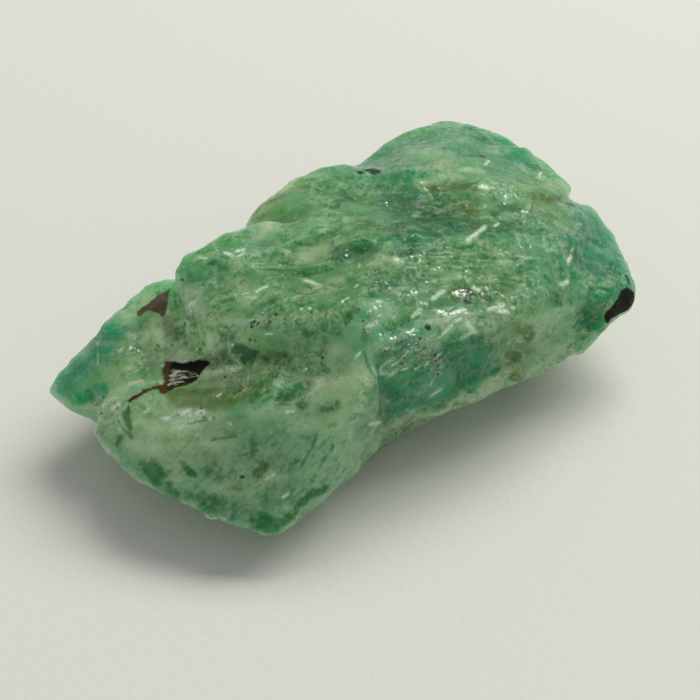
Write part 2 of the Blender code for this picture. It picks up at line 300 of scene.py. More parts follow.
# Milky zones of the stone. Runs stronger than 0.9 also lay painted fill milk, painted light in shaded
# hollows and on shaded faces.
MILKY_AND_PAINTED_FILL = [
    (((310, 390), (340, 380), (362, 372)), 1.1, 0.9),
    (((256, 414), (290, 408), (316, 404)), 0.5, 0.9),
    (((158, 446), (168, 458), (172, 472)), 0.6, 0.9),
    (((196, 296), (190, 312)), 0.5, 0.8),
    (((222, 312), (234, 318)), 0.4, 0.6),
    (((112, 376), (126, 370)), 0.7, 0.5),
    (((150, 346), (166, 340)), 0.5, 0.6),
    (((424, 152), (440, 160), (446, 176)), 1.2, 0.7),
    (((464, 170), (478, 170)), 0.5, 0.9),
    (((492, 152), (508, 152), (520, 160), (524, 170)), 0.35, 0.8),
    (((486, 190), (530, 190)), 0.6, 0.5),
    (((504, 366), (514, 367), (504, 372)), 0.3, 1.4),
    (((532, 340), (540, 350), (536, 366)), 0.6, 0.6),
    (((548, 328), (558, 320)), 0.35, 0.9),
    (((396, 424), (430, 408), (480, 394)), 0.5, 0.6),
    (((440, 322), (462, 318), (474, 326)), 0.6, 0.8),
    (((376, 310), (390, 316)), 0.8, 0.6),
    (((262, 208), (276, 196), (290, 184)), 0.6, 0.9),
    (((304, 256), (318, 250), (334, 250)), 0.7, 0.9),
    (((374, 262), (386, 256), (396, 258)), 0.5, 1.0),
    (((90, 416), (100, 434), (116, 456)), 0.5, 0.7),
    (((106, 408), (116, 412)), 0.5, 0.9),
    (((130, 384), (140, 381)), 0.22, 1.2),
    (((242, 496), (256, 486), (272, 476)), 0.35, 1.1),
    (((304, 279), (318, 286)), 0.25, 1.2),
    (((330, 282), (340, 279)), 0.4, 0.8),
    (((560, 184), (566, 188)), 0.4, 0.8),
    (((544, 176), (552, 190)), 0.7, 0.6),
    (((582, 292), (590, 290), (604, 282)), 0.25, 0.6),
    (((560, 226), (566, 230)), 0.4, 0.8),
    (((356, 386), (366, 388)), 0.25, 1.2),
    (((128, 334), (136, 338)), 0.3, 0.8),
    (((336, 190), (342, 184)), 0.2, 0.8),
    (((262, 366), (276, 372), (296, 374)), 0.5, 0.6),
    (((172, 334), (192, 328), (214, 350), (236, 350)), 1.3, 1.9),
    (((186, 320), (190, 300)), 0.9, 1.1),
    (((180, 352), (200, 356), (214, 372)), 1.0, 1.3),
    (((112, 426), (136, 422), (168, 432), (196, 422)), 1.4, 1.4),
    (((130, 446), (160, 446), (186, 446), (213, 442)), 1.2, 1.3),
    (((162, 470), (172, 466)), 0.7, 1.1),
    (((256, 232), (272, 224)), 0.8, 0.9),
    (((322, 400), (340, 404), (330, 424), (304, 422)), 1.0, 0.9),
    (((284, 256), (306, 256)), 0.5, 0.7),
    (((326, 352), (342, 350)), 0.8, 0.8),
    (((376, 350), (386, 346)), 0.4, 0.7),
    (((170, 376), (190, 392)), 0.3, 0.5),
    (((212, 254), (196, 262)), 0.5, 0.7),
    (((112, 398), (124, 402)), 0.6, 1.0),
    (((430, 410), (470, 396), (490, 386)), 0.6, 1.3),
    (((440, 344), (462, 342)), 0.4, 0.9),
    (((482, 362), (480, 380)), 0.3, 0.9),
    (((128, 412), (150, 412)), 0.4, 0.8),
    (((160, 470), (176, 480)), 0.5, 1.1),
    (((228, 488), (246, 498)), 0.7, 0.9),
    (((184, 374), (196, 392)), 0.4, 0.4),
    (((430, 404), (456, 398)), 0.5, 1.5),
    (((444, 178), (460, 184)), 0.6, 0.8),
    (((250, 300), (236, 280), (262, 300)), 0.8, 0.6),
    (((420, 186), (440, 182)), 0.7, 0.7),
    (((236, 494), (280, 474)), 0.5, 0.8),
    (((496, 376), (508, 372)), 0.5, 1.2),
    (((240, 350), (262, 350)), 0.8, 0.7),
    (((126, 318), (142, 302)), 0.9, 0.9),
    (((238, 234), (248, 224)), 0.8, 0.7),
    (((112, 396), (122, 392)), 0.6, 0.9),
    (((212, 318), (220, 328)), 0.8, 0.6),
]
FROSTED = [
    (((390, 150), (450, 145), (510, 165)), 2.2, 1.0),
    (((500, 150), (540, 190)), 1.6, 0.9),
    (((580, 210), (604, 250)), 1.2, 0.9),
    (((60, 392), (90, 370), (104, 346)), 1.2, 0.9),
    (((360, 436), (330, 490)), 1.2, 0.7),
    (((250, 205), (290, 185)), 1.0, 0.8),
    (((140, 440), (230, 430), (300, 440)), 1.8, 0.9),
    (((190, 476), (260, 480), (300, 470)), 1.6, 0.8),
]
FEATHERS = [
    (((300, 470), (320, 450), (346, 470)), 1.6, 1.0),
    (((190, 470), (240, 480), (280, 450)), 1.6, 0.8),
    (((384, 400), (410, 372), (440, 366)), 1.4, 0.7),
    (((260, 380), (300, 390)), 1.0, 0.7),
    (((480, 330), (520, 340)), 1.2, 0.6),
]
SPECKS = [
    (((371, 170), (375, 172)), 0.30, 1.2),
    (((358, 172), (361, 173)), 0.20, 0.9),
    (((481, 156), (484, 157)), 0.16, 1.1),
    (((446, 139), (450, 139)), 0.16, 0.6),
    (((417, 147), (419, 147)), 0.12, 0.7),
    (((466, 302), (469, 303)), 0.16, 1.1),
    (((427, 327), (429, 328)), 0.14, 1.1),
    (((400, 326), (401, 326)), 0.08, 0.9),
    (((449, 223), (451, 224)), 0.12, 0.8),
    (((181, 280), (183, 280)), 0.10, 0.9),
    (((241, 477), (243, 477)), 0.12, 0.9),
    (((322, 357), (323, 358)), 0.08, 0.9),
    (((573, 310), (574, 311)), 0.08, 0.8),
    (((607, 268), (614, 272), (620, 274)), 0.26, 0.6),
    (((626, 276), (629, 283)), 0.16, 0.9),
]
STREAKS = [
    (((204, 258), (240, 260), (300, 266)), 0.6, 0.7),
    (((420, 256), (470, 258), (510, 264)), 0.8, 1.0),
    (((424, 270), (480, 274), (520, 280)), 0.7, 0.6),
    (((364, 206), (420, 214), (450, 216)), 0.8, 0.6),
]
CRUMBS = [
    (((250, 324), (276, 318), (300, 320), (330, 314)), 0.3, 1.0),
    (((232, 344), (244, 338), (262, 344)), 0.35, 0.6),
    (((98, 402), (108, 404), (118, 408)), 0.40, 1.4),
    (((176, 414), (190, 412), (204, 414)), 0.25, 1.1),
    (((366, 328), (380, 324)), 0.3, 1.0),
    (((120, 352), (146, 344), (166, 350)), 0.6, 0.6),
    (((376, 322), (392, 340), (402, 366)), 0.55, 0.8),
    (((404, 336), (420, 350), (440, 366)), 0.6, 0.9),
    (((430, 296), (450, 292), (480, 290)), 0.3, 0.7),
    (((440, 312), (462, 314), (474, 330)), 0.3, 0.6),
    (((500, 306), (524, 304), (544, 298)), 0.25, 0.5),
    (((388, 420), (424, 408), (450, 398)), 0.3, 0.5),
    (((204, 370), (226, 374), (250, 390)), 0.5, 0.5),
    (((196, 300), (190, 316)), 0.3, 0.6),
    (((206, 516), (226, 518)), 0.35, 0.6),
]

# Clear windows into the stone: each an outline of spots.
WINDOWS = [
    (
        (333, 262), (340, 254), (348, 248), (358, 247), (371, 250), (362, 254), (352, 257), (345, 263),
        (336, 265),
    ),
    ((364, 299), (366, 290), (378, 283), (398, 278), (399, 285), (386, 294), (370, 299)),
    ((415, 318), (422, 310), (433, 306), (431, 312), (421, 318)),
    ((284, 246), (297, 242), (306, 242), (316, 244), (303, 246), (292, 247)),
    ((229, 340), (246, 344), (258, 352), (252, 372), (243, 364), (230, 352)),
    ((111, 447), (117, 438), (125, 434), (123, 442), (117, 448)),
    ((121, 415), (128, 404), (131, 408), (130, 418), (134, 428), (130, 436), (125, 426)),
    ((180, 461), (187, 463), (196, 472), (198, 478), (188, 476)),
    ((582, 310), (588, 306), (600, 300), (608, 302), (606, 314), (602, 324), (592, 326), (585, 320)),
    ((292, 384), (304, 380), (303, 386), (296, 390)),
    ((272, 376), (280, 372), (284, 375), (276, 380)),
    ((258, 386), (262, 376), (264, 388), (256, 400), (248, 404)),
    ((450, 404), (458, 400), (462, 404), (454, 408)),
]
# Thin dark lines in the window colour. The one along the curved rib is painted shadow under the rib.
SLITS_AND_RIB_SHADOW = [
    ((260, 267), (276, 268), (290, 271), (303, 274), (318, 272), (331, 268)),
    ((286, 269), (303, 271), (326, 266)),
    ((457, 247), (472, 245), (482, 236), (487, 229), (500, 229), (513, 235), (520, 245)),
    ((250, 306), (258, 298), (266, 293)),
    ((256, 293), (266, 288)),
    ((392, 244), (400, 247), (412, 246)),
    ((418, 249), (440, 250)),
    ((424, 254), (448, 255), (474, 256)),
    ((420, 263), (450, 266), (494, 268)),
    ((416, 278), (428, 284), (440, 282)),
    ((404, 236), (414, 241)),
    ((380, 200), (400, 198), (412, 200)),
    ((420, 198), (440, 196), (470, 196)),
    ((612, 322), (604, 318), (610, 308), (618, 300)),
    ((120, 404), (127, 400), (131, 401)),
    ((118, 420), (124, 430), (131, 437)),
    ((300, 468), (312, 448), (316, 436)),
    ((312, 480), (324, 460), (334, 446)),
    ((322, 486), (338, 478), (346, 468)),
    ((364, 352), (368, 366), (374, 378)),
    ((480, 316), (486, 324)),
    ((280, 404), (300, 405)),
    ((262, 402), (290, 388)),
    ((188, 424), (214, 418)),
    ((212, 440), (236, 436)),
    ((512, 352), (530, 352)),
]
THREADS = [
    ((368, 330), (370, 350), (375, 376)),
    ((421, 256), (448, 257), (502, 261)),
    ((424, 252), (446, 252)),
    ((432, 265), (470, 265), (500, 268)),
    ((425, 276), (446, 279)),
    ((466, 272), (504, 276)),
    ((200, 257), (240, 260), (268, 264)),
    ((230, 256), (262, 261)),
    ((280, 260), (300, 261)),
    ((310, 264), (330, 264)),
    ((374, 242), (386, 242)),
    ((366, 210), (378, 209)),
    ((396, 209), (420, 211)),
    ((402, 215), (426, 217)),
    ((350, 240), (364, 238), (376, 240)),
    ((455, 240), (466, 240)),
    ((515, 236), (520, 246)),
    ((556, 238), (563, 246), (567, 252)),
    ((578, 332), (590, 332), (603, 326), (609, 318)),
    ((565, 223), (582, 224)),
    ((98, 342), (98, 366)),
    ((100, 398), (92, 406), (86, 410)),
    ((262, 358), (256, 362), (248, 376), (246, 388), (234, 398)),
    ((268, 356), (280, 350), (303, 350)),
    ((300, 398), (320, 386), (336, 378)),
    ((408, 163), (411, 176), (416, 185), (425, 194), (433, 199)),
    ((386, 192), (406, 192)),
    ((378, 398), (366, 412), (352, 424)),
    ((219, 480), (228, 466)),
    ((306, 462), (322, 438)),
    ((316, 474), (330, 452)),
    ((328, 472), (342, 456)),
    ((340, 460), (352, 450)),
    ((380, 420), (394, 414), (408, 408)),
    ((296, 452), (300, 470)),
    ((524, 308), (532, 318), (538, 322)),
    ((480, 374), (488, 358), (496, 346)),
    ((86, 420), (94, 440), (102, 450)),
    ((176, 284), (178, 300), (184, 322)),
    ((196, 324), (199, 340)),
    ((188, 250), (214, 248), (240, 250)),
]
# Painted highlights: short bright glints, and fainter ones below.
GLINTS = [
    ((468, 241), (476, 235)),
    ((478, 233), (484, 228)),
    ((568, 262), (571, 256)),
    ((562, 284), (567, 282)),
    ((378, 301), (381, 301)),
    ((433, 299), (438, 294)),
    ((440, 293), (444, 290)),
    ((413, 316), (421, 310)),
    ((455, 313), (465, 309)),
    ((443, 334), (451, 326)),
    ((467, 323), (476, 333)),
    ((461, 338), (470, 333)),
    ((474, 288), (479, 290)),
    ((489, 309), (502, 305)),
    ((500, 311), (507, 312)),
    ((368, 326), (377, 323)),
    ((380, 370), (390, 361)),
    ((380, 374), (386, 373)),
    ((390, 375), (397, 370)),
    ((431, 395), (442, 389)),
    ((102, 406), (108, 401)),
    ((112, 408), (119, 404)),
    ((162, 420), (169, 418)),
    ((180, 413), (190, 411)),
    ((197, 413), (204, 412)),
    ((257, 291), (266, 287)),
    ((189, 306), (194, 302)),
    ((306, 280), (316, 284)),
    ((225, 252), (232, 255)),
    ((236, 251), (243, 250)),
    ((481, 186), (487, 187)),
    ((370, 424), (380, 422)),
]
FAINT_GLINTS = [
    ((494, 227), (498, 224)),
    ((571, 251), (574, 249)),
    ((355, 287), (358, 285)),
    ((436, 310), (448, 313)),
    ((453, 322), (461, 319)),
    ((486, 287), (487, 290)),
    ((378, 318), (380, 315)),
    ((392, 318), (394, 317)),
    ((393, 365), (398, 362)),
    ((402, 370), (407, 369)),
    ((384, 350), (389, 347)),
    ((404, 356), (408, 350)),
    ((414, 370), (420, 367)),
    ((425, 366), (428, 362)),
    ((438, 356), (442, 352)),
    ((411, 334), (413, 335)),
    ((437, 338), (440, 337)),
    ((430, 386), (434, 380)),
    ((412, 347), (414, 349)),
    ((112, 399), (117, 397)),
    ((144, 412), (148, 410)),
    ((179, 428), (183, 426)),
    ((209, 420), (211, 418)),
    ((227, 424), (231, 424)),
    ((197, 435), (199, 434)),
    ((243, 294), (248, 293)),
    ((187, 316), (192, 311)),
    ((301, 308), (302, 310)),
    ((309, 308), (310, 309)),
    ((238, 256), (244, 253)),
    ((200, 257), (207, 258)),
    ((342, 302), (348, 298)),
    ((539, 177), (541, 172)),
    ((485, 165), (489, 161)),
    ((424, 190), (427, 192)),
    ((283, 497), (288, 494)),
    ((266, 479), (274, 474)),
    ((303, 371), (306, 369)),
    ((217, 396), (221, 394)),
    ((196, 350), (198, 348)),
    ((264, 334), (271, 334)),
    ((232, 346), (233, 345)),
    ((286, 412), (294, 411)),
    ((525, 240), (527, 241)),
    ((420, 302), (428, 304)),
    ((512, 307), (514, 308)),
    ((356, 358), (360, 352)),
]
BROWN = [
    (((163, 386), (150, 389), (130, 400)), 0.30, 1.2),
    (((166, 362), (163, 380)), 0.20, 1.2),
    (((166, 390), (186, 384), (196, 379)), 0.14, 1.0),
]
MICA_FLAKE = (
    (165, 360), (184, 362), (200, 359), (211, 361), (202, 370), (196, 380), (186, 385), (176, 386),
    (164, 393), (158, 391), (164, 380), (162, 370),
)
MICA_LEAVES = ((170, 366), (188, 370), (198, 373), (186, 378), (176, 384), (166, 388), (168, 378))
MICA_TAIL = (((163, 386), (150, 389), (140, 394), (130, 400)), 0.13, 1.0)
MICA_TIP = (
    (626, 287), (634, 292), (636, 300), (629, 310), (618, 315), (606, 323), (603, 316), (610, 309),
    (616, 300), (621, 291),
)
RUST_PATCH = (
    (171, 288), (168, 300), (166, 314), (162, 320), (159, 313), (148, 311), (138, 317), (136, 312),
    (150, 303), (160, 294),
)

# Ledges and cracks of the skin, as runs whose last number is the height in millimetres.
RIBS = [
    (((457, 243), (468, 240), (476, 234), (484, 227), (500, 226), (513, 231), (522, 243)), 0.26, 0.16),
    (((368, 322), (369, 340), (375, 378)), 0.22, 0.10),
    (((206, 326), (238, 322), (268, 318), (300, 316), (330, 313)), 0.30, 0.12),
    (((406, 140), (411, 176), (425, 194), (470, 193)), 0.40, 0.16),
    (((570, 306), (576, 326), (592, 332), (606, 324)), 0.30, 0.18),
    (((380, 420), (420, 406), (470, 386), (520, 368)), 0.40, 0.12),
]
CRACKS = [
    (((284, 246), (300, 243), (316, 244)), 0.20, -0.16),
    (((260, 267), (290, 271), (304, 274), (331, 268)), 0.22, -0.16),
    (((128, 402), (122, 414), (127, 428), (132, 437)), 0.16, -0.14),
    (((561, 260), (563, 280)), 0.20, -0.14),
    (((205, 328), (240, 327), (300, 324)), 0.30, -0.10),
    (((457, 248), (472, 246), (483, 237), (488, 231)), 0.20, -0.14),
]


class Wire:
    """One socket's value, with the sums that shaders and fields are written in."""

    def __init__(self, tree, socket):
        self.tree = tree
        self.socket = socket

    def sum(self, operation, *others):
        values = dict(enumerate((self, *others)))
        return self.tree.node("ShaderNodeMath", {"operation": operation}, values)

    def __add__(self, other):
        return self.sum("ADD", other)

    def __sub__(self, other):
        return self.sum("SUBTRACT", other)

    def __mul__(self, other):
        return self.sum("MULTIPLY", other)

    def __truediv__(self, other):
        return self.sum("DIVIDE", other)

    def __pow__(self, other):
        return self.sum("POWER", other)

    def __radd__(self, other):
        return self + other

    def __rmul__(self, other):
        return self * other

    def __rsub__(self, other):
        return self.tree.node("ShaderNodeMath", {"operation": "SUBTRACT"}, {0: other, 1: self})

    def step(self, low, high):
        """0 below low, 1 above high, and an even bend between."""
        return self.tree.node(
            "ShaderNodeMapRange",
            {"interpolation_type": "SMOOTHSTEP"},
            {"Value": self, "From Min": low, "From Max": high, "To Min": 0.0, "To Max": 1.0},
        )


class Tree:
    """A node tree that is written as expressions."""

    def __init__(self, tree):
        self.tree = tree

    def node(self, kind, settings=None, inputs=None, output=0):
        """Adds a node: its settings first, then its inputs. Gives the output asked for."""
        made = self.tree.nodes.new(kind)
        for name, value in (settings or {}).items():
            setattr(made, name, value)
        for name, value in (inputs or {}).items():
            socket = made.inputs[name]
            if isinstance(value, Wire):
                self.tree.links.new(value.socket, socket)
            else:
                socket.default_value = value
        if not made.outputs:
            return None
        return Wire(self, made.outputs[output])

    def vector(self, operation, *values, output=0):
        return self.node("ShaderNodeVectorMath", {"operation": operation}, dict(enumerate(values)), output)

    def scaled(self, vector, amount):
        return self.node("ShaderNodeVectorMath", {"operation": "SCALE"}, {0: vector, "Scale": amount})

    def dot(self, one, other):
        return self.vector("DOT_PRODUCT", one, other, output="Value")

    def noise(self, place, size, detail=3.0, roughness=0.55, output="Fac"):
        """Cloudy noise from 0 to 1, with lumps of this size in the units of place."""
        given = {"Vector": place, "Scale": 1 / size, "Detail": detail, "Roughness": roughness}
        return self.node("ShaderNodeTexNoise", None, given, output)

    def patches(self, place, shift, size, detail, roughness=0.55):
        """Cloudy noise that doesn't follow the others, because its place is shifted."""
        return self.noise(self.vector("ADD", place, shift), size, detail, roughness)

    def cells(self, place, size, output="Distance"):
        """Broken cells of this size."""
        return self.node("ShaderNodeTexVoronoi", None, {"Vector": place, "Scale": 1 / size}, output)

    def blend(self, mask, below, above):
        """The colour below where the mask is 0, and above where it is 1."""
        given = {"Factor": mask, 6: below, 7: above}
        return self.node("ShaderNodeMix", {"data_type": "RGBA"}, given, 2)

    def joined(self, *pieces):
        """Several geometries as one."""
        join = self.tree.nodes.new("GeometryNodeJoinGeometry")
        for piece in pieces:
            self.tree.links.new(piece.socket, join.inputs[0])
        return Wire(self, join.outputs[0])

    def leaning(self, place, size):
        """Flat chips of this size, each with a lean of its own."""
        middle = self.cells(place, size, "Position")
        lean = self.vector("SUBTRACT", self.cells(place, size, "Color"), (0.5, 0.5, 0.5))
        return self.dot(self.vector("SUBTRACT", place, middle), lean)

    def bump(self, height, strength=1.0):
        """Bumps of this height in millimetres."""
        given = {"Strength": strength, "Distance": MM, "Height": height}
        return self.node("ShaderNodeBump", None, given)

    def mark(self, name):
        """A number painted on the skin."""
        return self.node("ShaderNodeAttribute", {"attribute_name": name}, None, "Fac")


def camera_axes():
    turn, height = math.radians(EYE_TURN), math.radians(EYE_HEIGHT)
    back = Vector((math.sin(turn) * math.cos(height), -math.cos(turn) * math.cos(height), math.sin(height)))
    right = Vector((math.cos(turn), math.sin(turn), 0.0))
    return right, back.cross(right), back


RIGHT, UP, BACK = camera_axes()
FOCAL = LENS / SENSOR * VIEW
EYE = (
    LOOKS_AT
    + BACK * EYE_DISTANCE
    - RIGHT * ((LOOKS_AT_SPOT[0] - VIEW / 2) / FOCAL * EYE_DISTANCE)
    - UP * ((VIEW / 2 - LOOKS_AT_SPOT[1]) / FOCAL * EYE_DISTANCE)
)


def add_camera():
    data = bpy.data.cameras.new("camera")
    data.lens = LENS
    data.sensor_width = SENSOR
    data.clip_start = 0.001
    data.clip_end = 10.0
    camera = bpy.data.objects.new("camera", data)
    bpy.context.scene.collection.objects.link(camera)
    turned = Matrix((RIGHT, UP, BACK)).transposed().to_4x4()
    camera.matrix_world = Matrix.Translation(EYE * MM) @ turned
    bpy.context.scene.camera = camera


def sight_line(spot):
    """The way the camera looks through a spot of its view."""
    across, down = spot
    return (RIGHT * ((across - VIEW / 2) / FOCAL) + UP * ((VIEW / 2 - down) / FOCAL) - BACK).normalized()


def seen_on(skin_tree, spot):
    """The point of the stone that shows at a spot, in millimetres."""
    hit = skin_tree.ray_cast(EYE * MM, sight_line(spot))[0]
    if hit is None:
        hit = skin_tree.find_nearest((EYE + sight_line(spot) * EYE_DISTANCE) * MM)[0]
    return hit / MM


def even_skin(node):
    """The stone's solid with an even, fine skin in place of its facets."""
    bm = bmesh.new()
    bm.from_mesh(node.data)
    bmesh.ops.remove_doubles(bm, verts=bm.verts, dist=WELD * MM)
    mesh = bpy.data.meshes.new("emerald_skin")
    bm.to_mesh(mesh)
    bm.free()
    stone = bpy.data.objects.new("emerald_skin", mesh)
    bpy.context.scene.collection.objects.link(stone)
    remesh = stone.modifiers.new("Fine skin", "REMESH")
    remesh.mode = "VOXEL"
    remesh.voxel_size = SKIN_CELL * MM
    smooth = stone.modifiers.new("Soft facets", "SMOOTH")
    smooth.factor = SOFTENING
    smooth.iterations = SOFTENING_PASSES
    return stone


def apply_modifiers(stone):
    graph = bpy.context.evaluated_depsgraph_get()
    mesh = bpy.data.meshes.new_from_object(stone.evaluated_get(graph))
    stone.modifiers.clear()
    old, stone.data = stone.data, mesh
    bpy.data.meshes.remove(old)


def read_mark(tree, name):
    """A painted number, read back by geometry nodes."""
    return tree.node("GeometryNodeInputNamedAttribute", {"data_type": "FLOAT"}, {"Name": name}, "Attribute")


def broken_relief(tree, place, normal, size):
    """How far each point of the skin moves out, and how far along the layers' axis, in millimetres."""
    swell = (tree.noise(place, 2.8, 2.0) - 0.5) * size["Swell"] * 2
    scars = (tree.cells(place, 1.5) ** 2 - 0.25) * size["Scar depth"]
    rough = tree.patches(place, (11.0, 3.0, 5.0), 2.6, 3.0).step(0.46, 0.60)
    moved = tree.vector("ADD", place, tree.scaled(tree.noise(place, 1.4, output="Color"), 0.4))
    chips = tree.leaning(moved, CHIP) * size["Chip tilt"] * 2 * (0.25 + 0.75 * rough)
    level = tree.dot(place, tuple(LAYER_AXIS)) + tree.noise(place, 4.0, 2.0) * 0.9
    count = level / size["Layer thickness"]
    part = count - count.sum("FLOOR")
    facing = tree.dot(normal, tuple(LAYER_AXIS)).step(0.1, 0.6)
    banded = read_mark(tree, "streaks").step(0.2, 0.7) + 0.25 * rough
    steps = (part.step(0.62, 1.0) - part) * size["Layer thickness"] * size["Layer bite"]
    steps = steps * banded * facing
    grain = (tree.noise(place, 0.6, 5.0, 0.65) - 0.5) * size["Grain"] * 2
    return swell + scars + chips + grain, steps


def crumbs_on(tree, skin, size):
    """Small broken grains along the crumbling edges."""
    grain = tree.node("GeometryNodeMeshCone", None, CRUMB_SHAPE, "Mesh")
    grain = tree.node("GeometryNodeSetShadeSmooth", None, {"Geometry": grain, "Shade Smooth": False})
    pale = {"Geometry": grain, "Name": "milky", "Value": CRUMB_MILK}
    grain = tree.node("GeometryNodeStoreNamedAttribute", {"data_type": "FLOAT", "domain": "POINT"}, pale)
    density = read_mark(tree, "crumbs").step(0.25, 0.9) * size["Crumbs per square millimetre"] / MM**2
    scattered = {"Mesh": skin, "Density": density, "Seed": size["Seed"]}
    spots = tree.node("GeometryNodeDistributePointsOnFaces", None, scattered, "Points")
    turn = {0: (0.0, 0.0, 0.0), 1: (math.tau, math.tau, math.tau), "Seed": size["Seed"]}
    turned = tree.node("FunctionNodeRandomValue", {"data_type": "FLOAT_VECTOR"}, turn)
    small, large = (share * MM for share in CRUMB_SPREAD)
    spread = {0: (small, small, small), 1: (large, large, large), "Seed": size["Seed"] + 1}
    sized = tree.node("FunctionNodeRandomValue", {"data_type": "FLOAT_VECTOR"}, spread)
    sized = tree.scaled(sized, size["Crumb size"])
    placed = {"Points": spots, "Instance": grain, "Rotation": turned, "Scale": sized}
    return tree.node("GeometryNodeInstanceOnPoints", None, placed)


def broken_skin(material):
    """Geometry nodes that break the skin with scars, chips and growth layers, and scatter its crumbs."""
    group = bpy.data.node_groups.new("broken_skin", "GeometryNodeTree")
    group.interface.new_socket("Geometry", in_out="INPUT", socket_type="NodeSocketGeometry")
    for name, value in RELIEF.items():
        kind = "NodeSocketInt" if isinstance(value, int) else "NodeSocketFloat"
        group.interface.new_socket(name, in_out="INPUT", socket_type=kind)
    group.interface.new_socket("Geometry", in_out="OUTPUT", socket_type="NodeSocketGeometry")
    tree = Tree(group)
    given = tree.tree.nodes.new("NodeGroupInput")
    size = {name: Wire(tree, given.outputs[name]) for name in RELIEF}
    skin = Wire(tree, given.outputs["Geometry"])
    place = tree.scaled(tree.node("GeometryNodeInputPosition"), 1 / MM)
    normal = tree.node("GeometryNodeInputNormal")
    out, along = broken_relief(tree, place, normal, size)
    height = tree.node("ShaderNodeSeparateXYZ", None, {"Vector": place}, "Z")
    standing = (height / size["Flat base height"]).step(0.0, 1.0) * MM
    layers = tree.scaled(tuple(LAYER_AXIS), along * standing)
    offset = tree.vector("ADD", tree.scaled(normal, out * standing), layers)
    skin = tree.node("GeometryNodeSetPosition", None, {"Geometry": skin, "Offset": offset})
    skin = tree.node("GeometryNodeSetShadeSmooth", None, {"Geometry": skin, "Shade Smooth": True})
    whole = tree.joined(skin, crumbs_on(tree, skin, size))
    whole = tree.node("GeometryNodeRealizeInstances", None, {"Geometry": whole})
    whole = tree.node("GeometryNodeSetMaterial", None, {"Geometry": whole, "Material": material})
    tree.node("NodeGroupOutput", None, {"Geometry": whole})
    return group


def add_broken_skin(stone, material):
    """Puts the tree on the stone, with each of its sizes set."""
    relief = stone.modifiers.new("Broken skin", "NODES")
    relief.node_group = broken_skin(material)
    for item in relief.node_group.interface.items_tree:
        if item.in_out == "INPUT" and item.name in RELIEF:
            relief[item.identifier] = RELIEF[item.name]


def distance_to_run(places, chain):
    """Each place's distance in millimetres to a chain of points."""
    nearest = np.full(len(places), 1e9)
    for start, end in zip(chain[:-1], chain[1:]):
        along = np.array(end - start)
        share = np.clip((places - np.array(start)) @ along / max(along @ along, 1e-9), 0, 1)
        foot = np.array(start) + share[:, None] * along
        nearest = np.minimum(nearest, np.linalg.norm(places - foot, axis=1))
    return nearest


def distance_to_spots(places, skin_tree, spots):
    """Each place's distance to a chain of spots, laid on the stone."""
    return distance_to_run(places, [seen_on(skin_tree, spot) for spot in spots])


def run_mask(places, skin_tree, runs):
    """How strongly the runs cover each place: full on the run, nothing past its reach."""
    mask = np.zeros(len(places))
    for spots, reach, strength in runs:
        away = distance_to_spots(places, skin_tree, spots)
        mask = np.maximum(mask, strength * (1 - away / (2 * reach)))
    return mask


def run_relief(places, skin_tree, runs):
    """The height of the ribs and cracks at each place."""
    height = np.zeros(len(places))
    for spots, reach, top in runs:
        near = np.clip(1 - distance_to_spots(places, skin_tree, spots) / (1.6 * reach), 0, 1)
        height += top * near**1.5
    return height


def inside(places, skin_tree, outline, deep):
    """How far each place lies inside an outline of spots, in millimetres; below 0 is outside."""
    middle = seen_on(skin_tree, tuple(sum(v) / len(outline) for v in zip(*outline)))
    offset = places - np.array(EYE)
    away = -(offset @ np.array(BACK))
    across = VIEW / 2 + FOCAL * (offset @ np.array(RIGHT)) / away
    down = VIEW / 2 - FOCAL * (offset @ np.array(UP)) / away
    spots = np.stack([across, down], axis=1)
    ring = [Vector((*spot, 0)) for spot in outline]
    flat = np.column_stack([spots, np.zeros(len(spots))])
    edge = distance_to_run(flat, [*ring, ring[0]])
    within = np.zeros(len(spots), dtype=bool)
    for (x0, y0), (x1, y1) in zip(outline, [*outline[1:], outline[0]]):
        crossing = (y0 > down) != (y1 > down)
        slope = (x1 - x0) / (y1 - y0) if y1 != y0 else 0.0
        within ^= crossing & (across < x0 + (down - y0) * slope)
    depth = np.where(within, edge, -edge) * EYE_DISTANCE / FOCAL
    far = np.linalg.norm(places - np.array(middle), axis=1) > deep
    return np.where(far, -1.0, depth)


def distance_to_lines(places, skin_tree, lines):
    """Each place's distance in millimetres to the nearest of several thin lines."""
    return np.min([distance_to_spots(places, skin_tree, spots) for spots in lines], axis=0)


def paint(mesh, name, values):
    layer = mesh.attributes.new(name, "FLOAT", "POINT")
    layer.data.foreach_set("value", np.asarray(values, dtype=np.float32))


